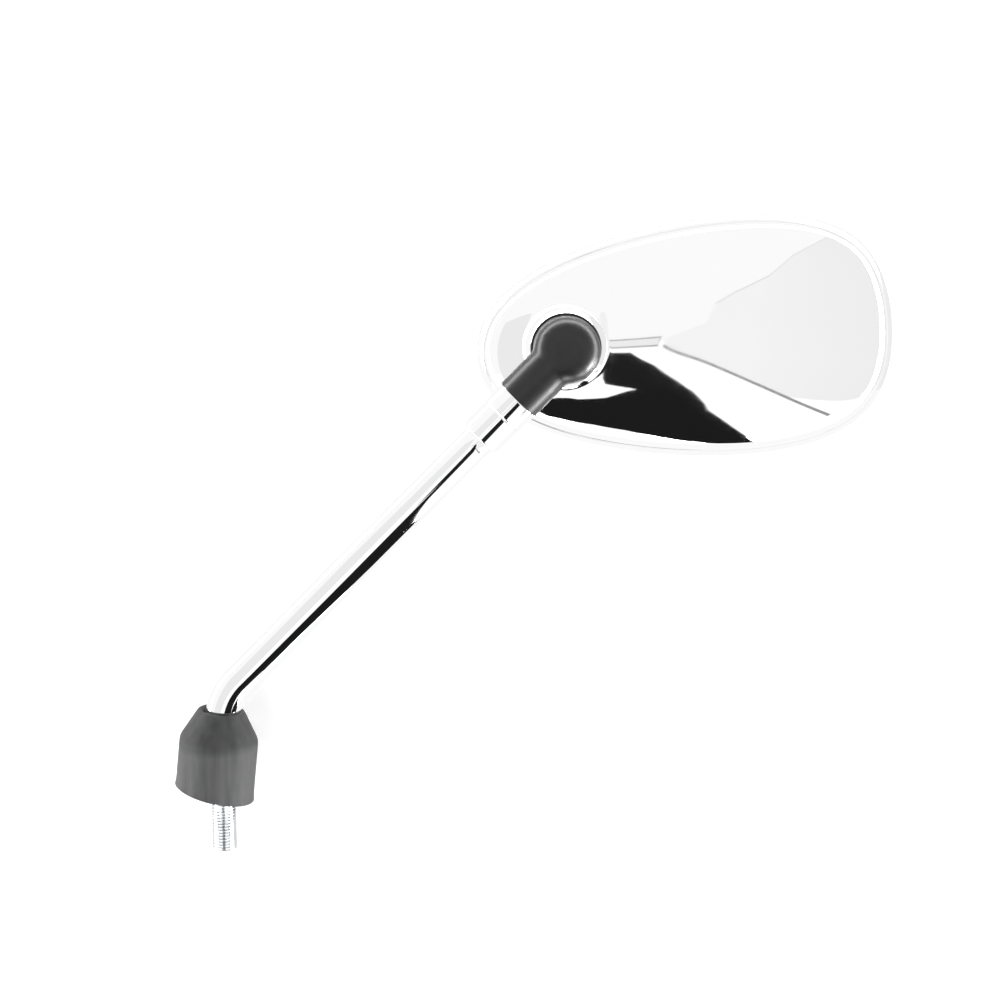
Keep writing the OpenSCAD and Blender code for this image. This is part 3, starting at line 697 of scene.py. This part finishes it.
bm = bmesh.new()
lathe(bm, [(NUT_BORE, NUT_LOW), (NUT_FACE, NUT_LOW), (NUT_CORNER, NUT_LOW + NUT_CHAMFER),
           (NUT_CORNER, NUT_HIGH - NUT_CHAMFER), (NUT_FACE, NUT_HIGH), (NUT_BORE, NUT_HIGH),
           (NUT_BORE, NUT_LOW)], steps=64)
tidy(bm)
turning = from_bmesh("nut_turning", bm)
cut = blank.modifiers.new("turning", "BOOLEAN")
cut.operation, cut.solver, cut.object = "INTERSECT", "EXACT", turning
turned_nut = evaluated(blank)
bpy.data.objects.remove(turning)
bm = bmesh.new()
bm.from_mesh(turned_nut)
piece("lock_nut_m10", bm, Matrix.Identity(4), "lock_nut", ["lock_nut"], zinc_steel, 20)

bm = bmesh.new()
lathe(bm, [(5.25, 0.15), (5.4, 0), (8.85, 0), (9.0, 0.15), (9.0, 1.3), (8.7, 1.6), (5.4, 1.6), (5.25, 1.45),
           (5.25, 0.15)])
bmesh.ops.translate(bm, vec=(0, 0, WASHER_LOW), verts=bm.verts[:])
tidy(bm)
piece("flat_washer_m10", bm, Matrix.Identity(4), "washer", ["flat_washer"], zinc_steel, 30)

# %% [markdown]
# ## Pieces that keep their CAD shape
#
# The joint's inner pieces are turned, stamped or moulded to simple forms, and the CAD solids already have
# them. They only need their material.

# %% Materials for the carried-over CAD nodes
INNER = {"glass_pad": foam, "pressure_cup": cast_zinc, "disc_spring": spring_steel, "socket_plate": zinc_steel,
         "plate_screws": zinc_steel, "liner_outer": nylon, "liner_inner": nylon, "ball_stud": bright_steel,
         "retaining_ring": spring_steel, "elbow_core": cast_zinc, "cross_pin": bright_steel}
for name, material in INNER.items():
    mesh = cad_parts[name].data
    mesh.materials.clear()
    mesh.materials.append(material)
    print(name, "is", material.name)

# %% [markdown]
# ## Studio
#
# The photograph is high key: white paper behind the object, and white all round it, so the chrome is almost
# white too. The paper is one sheet with a wall and a floor and a curve between them. It lies close behind the
# head, where it takes the soft shadows. Seen from behind it is clear, so that it never hides the object.

# %% A sheet of the stage
def sheet(name, rows, material):
    """A folded sheet through rows of corners in millimetres, with as many corners in each row. With each row
    to the right and the rows going back and then up, it looks up and then at the camera."""
    bm = bmesh.new()
    lines = [[bm.verts.new(Vector(co) * MM) for co in row] for row in rows]
    for near, far in zip(lines, lines[1:]):
        for k in range(len(near) - 1):
            bm.faces.new((near[k], near[k + 1], far[k + 1], far[k]))
    made = from_bmesh(name, bm)
    made.data.materials.append(material)
    return made


# %% The white paper
PAPER_GLOW = 0.42
paper, paper_tree, paper_shader = new_material("White_paper")
paper_shader.inputs["Base Color"].default_value = linear("#F4F4F4")
paper_shader.inputs["Roughness"].default_value = 0.9
paper_shader.inputs["Specular IOR Level"].default_value = 0.0
seen = add(paper_tree, "ShaderNodeLightPath").outputs["Is Camera Ray"]
glow_level = add(paper_tree, "ShaderNodeMath", {0: seen, 1: PAPER_GLOW}, operation="MULTIPLY")
glow = add(paper_tree, "ShaderNodeEmission", {"Color": (1, 1, 1, 1), "Strength": glow_level.outputs[0]})
both = add(paper_tree, "ShaderNodeAddShader", {0: paper_shader.outputs[0], 1: glow.outputs[0]})
clear = add(paper_tree, "ShaderNodeBsdfTransparent")
behind = add(paper_tree, "ShaderNodeNewGeometry").outputs["Backfacing"]
mix = add(paper_tree, "ShaderNodeMixShader", {0: behind, 1: both.outputs[0], 2: clear.outputs[0]})
paper_tree.links.new(mix.outputs[0], paper_tree.nodes["Material Output"].inputs["Surface"])

# %% The paper sweep
PAPER_Y, PAPER_Z, CURVE = 46.0, -420.0, 60.0
PAPER_LEFT, PAPER_RIGHT, PAPER_NEAR, PAPER_TOP = -1300, 1600, -1500, 1300
curve = [(PAPER_Y - CURVE + CURVE * math.sin(a), PAPER_Z + CURVE - CURVE * math.cos(a))
         for a in np.linspace(0, math.pi / 2, 13)]
section = [(PAPER_NEAR, PAPER_Z)] + curve + [(PAPER_Y, PAPER_TOP)]
sweep = sheet("paper_sweep", [[(PAPER_LEFT, y, z), (PAPER_RIGHT, y, z)] for y, z in section], paper)
sweep.data.shade_smooth()
sweep.visible_glossy = False
print("the paper's wall looks along", tuple(round(c) for c in sweep.data.polygons[-1].normal))

# %% [markdown]
# ## Cards
#
# A photographer puts cards round a chromed object to give it its dark and grey shapes, because chrome shows
# nothing but its surroundings. A black card below the camera gives the deep patch under the boss and the
# streak down the stem. Large pale panels left and right and a bright floor give the faint grey fans, and the
# right one has a darker foot and a thin edge along its top. A far strip with a thin line above and below it
# gives the pale bar beside the boss. A white card with a dark line lights the stud, and a ring of light gives
# the satin cap its sheen. Only reflections see the cards.

# %% Cards that only reflections see
def card_material(name, near, far=None, span=(0.0, 1.0)):
    """A glowing card. With far, its level runs from near to far between two places along Y in metres."""
    material, tree, shader = new_material(name)
    light = add(tree, "ShaderNodeEmission", {"Color": (1, 1, 1, 1), "Strength": near})
    if far is not None:
        place = add(tree, "ShaderNodeSeparateXYZ", {0: add(tree, "ShaderNodeTexCoord").outputs["Object"]})
        level = add(tree, "ShaderNodeMapRange", {"Value": place.outputs["Y"], "From Min": span[0],
                                                 "From Max": span[1], "To Min": near, "To Max": far})
        tree.links.new(level.outputs[0], light.inputs["Strength"])
    tree.links.new(light.outputs[0], tree.nodes["Material Output"].inputs["Surface"])
    tree.nodes.remove(shader)
    return material


def card(name, rows, material):
    made = sheet(name, rows, material)
    made.visible_camera = made.visible_diffuse = made.visible_shadow = made.visible_transmission = False


# The black card: an upright sheet in front, and one lying below it
black_card = card_material("Black_card", 0.012)
FRONT_Y, BELOW_Z = -450, -160
UPRIGHT = [(138, 125, 158), (90, 112, 196), (27, 110, 224), (-8, 114, 236), (-20, 145, 241), (-28, 167, 243),
           (-62, 140, 251), (-110, 109, 261), (-139, 70, 265), (-160, 38, 268)]
card("card_front", [[(left, FRONT_Y, z), (right, FRONT_Y, z)] for z, left, right in UPRIGHT], black_card)
LYING = [(-60, -300, -60, -60), (-20, -419, -20, -20), (10, -450, 10, -45), (44, -450, 44, -78),
         (97, -450, 97, -112), (142, -450, 142, -106), (178, -450, 178, -65), (209, -450, 209, -13),
         (245, -450, 245, 30), (268, -450, 291, 44)]
card("card_below", [[(x0, y0, BELOW_Z), (x1, y1, BELOW_Z)] for x0, y0, x1, y1 in LYING], black_card)

# The right panel with its thin upper edge and its dark foot, each a little nearer than the panel
RIGHT_X, LEFT_X, FLOOR_Z = 1190, -810, -1060
OVER_X = RIGHT_X - 2
TOP_EDGE = [(-16600, -430), (-11100, 130), (-8100, 360), (-8000, 1330), (-6200, 1500), (-3600, 1460),
            (-2300, 1850), (1400, 1800), (3000, 1800)]
LOW_EDGE = [FLOOR_Z] * 6 + [FLOOR_Z + 90, 0, 0]
FOOT_HIGH = [(-16600, 210), (-4000, 105), (-1500, 85), (-700, 85)]
card("card_right", [[(RIGHT_X, y, low), (RIGHT_X, y, z)] for (y, z), low in zip(TOP_EDGE, LOW_EDGE)],
     card_material("Panel_card", 0.94, 0.885, (-4.0, 0.0)))
card("card_right_edge", [[(OVER_X, y, z), (OVER_X, y, z + 20 - 0.009 * y)] for y, z in TOP_EDGE[2:8]],
     card_material("Edge_card", 0.72))
card("card_right_foot", [[(OVER_X, y, FLOOR_Z - 10), (OVER_X, y, FLOOR_Z + high)] for y, high in FOOT_HIGH],
     card_material("Foot_card", 0.30))

# The bright floor and the left panel
card("card_floor", [[(-2500, y, FLOOR_Z), (6000, y, FLOOR_Z)] for y in (-30000, 150)],
     card_material("Floor_card", 1.12))
card("card_left", [[(LEFT_X, y, low), (LEFT_X, y, high)]
                   for y, low, high in ((-600, -700, 640), (-1500, -1000, 1000), (-4000, -1000, 1800))],
     card_material("Left_card", 0.86))

# A far pale strip, level with the camera, that ends at the right panel, and the thin lines round it
STRIP_Y, LINES_Y = FRONT_Y - 2, FRONT_Y - 1
STRIP = [((60, 152), (60, 176)), ((200, 157), (200, 181))]
LINES = [((60, 148), (60, 152)), ((199, 154), (199, 158)), ((202, 183), (200, 179)), ((60, 177), (60, 173))]
card("card_strip", [[(x, STRIP_Y, z) for x, z in row] for row in STRIP], card_material("Strip_card", 0.88))
card("card_lines", [[(x, LINES_Y, z) for x, z in row] for row in LINES], card_material("Line_card", 0.35))

# A white card in front of the stud, with one dark line
STUD_CARD_Y, STUD_LINE_Y, STUD_LOW, STUD_HIGH = -32, -31.5, -110, 12
card("card_stud", [[(x, STUD_CARD_Y, STUD_LOW), (x, STUD_CARD_Y, STUD_HIGH)] for x in (-40, 44)],
     card_material("Stud_card", 1.7))
card("card_stud_line", [[(low, STUD_LINE_Y, STUD_LOW), (high, STUD_LINE_Y, STUD_HIGH)]
                        for low, high in ((-5, -7), (9, 7))], card_material("Stud_line_card", 0.10))


# %% The ring of light
RING_R, RING_BACK, RING_SWING, RING_HALF = 900, 0.05, 0.22, 0.14


def ring_place(azimuth, across):
    """A place on a ring of light well to the side of the head, at an angle from its right."""
    a = math.radians(azimuth)
    back = RING_BACK + RING_SWING * math.sin(a)
    return BALL + RING_R * Vector((math.cos(a), back + RING_HALF * across, math.sin(a)))


# The whole ring, and a hot piece of it at the lower right that lies a little nearer
card("card_ring", [[ring_place(a, -1), ring_place(a, 1)] for a in range(0, 361, 15)],
     card_material("Ring_card", 12.0))
card("card_hot", [[0.97 * ring_place(a, -1), 0.97 * ring_place(a, 1)] for a in (-42, -34, -26)],
     card_material("Hot_card", 60.0))

# %% [markdown]
# ## The white room
#
# The camera and the reflections see pure white round the object, while its matt surfaces are lit by a dimmer
# room. One soft box low in front adds the soft shadows on the paper.

# %% The white room and the soft light
ROOM_LIGHT = 0.55
world = bpy.data.worlds.new("white_room")
bpy.context.scene.world = world
world.use_nodes = True
sky = world.node_tree
sky.nodes.clear()
sky_rays = add(sky, "ShaderNodeLightPath")
level = ROOM_LIGHT
for ray in ("Is Camera Ray", "Is Transmission Ray", "Is Glossy Ray"):
    level = add(sky, "ShaderNodeMath", {0: sky_rays.outputs[ray], 1: level}, operation="MAXIMUM").outputs[0]
room = add(sky, "ShaderNodeBackground", {"Color": (1, 1, 1, 1), "Strength": level})
add(sky, "ShaderNodeOutputWorld", {"Surface": room.outputs[0]})

LAMP_PLACE, LAMP_AIM = Vector((-0.25, -1.3, -0.15)), Vector((0.1, 0, 0.1))
lamp_data = bpy.data.lights.new("soft_box", "AREA")
lamp_data.energy = 8.0
lamp_data.size = 0.7
lamp = linked("soft_box", lamp_data)
lamp.location = LAMP_PLACE
lamp.rotation_euler = (LAMP_AIM - LAMP_PLACE).to_track_quat("-Z", "Y").to_euler()
lamp.visible_glossy = False
bpy.context.scene.view_settings.view_transform = "Standard"
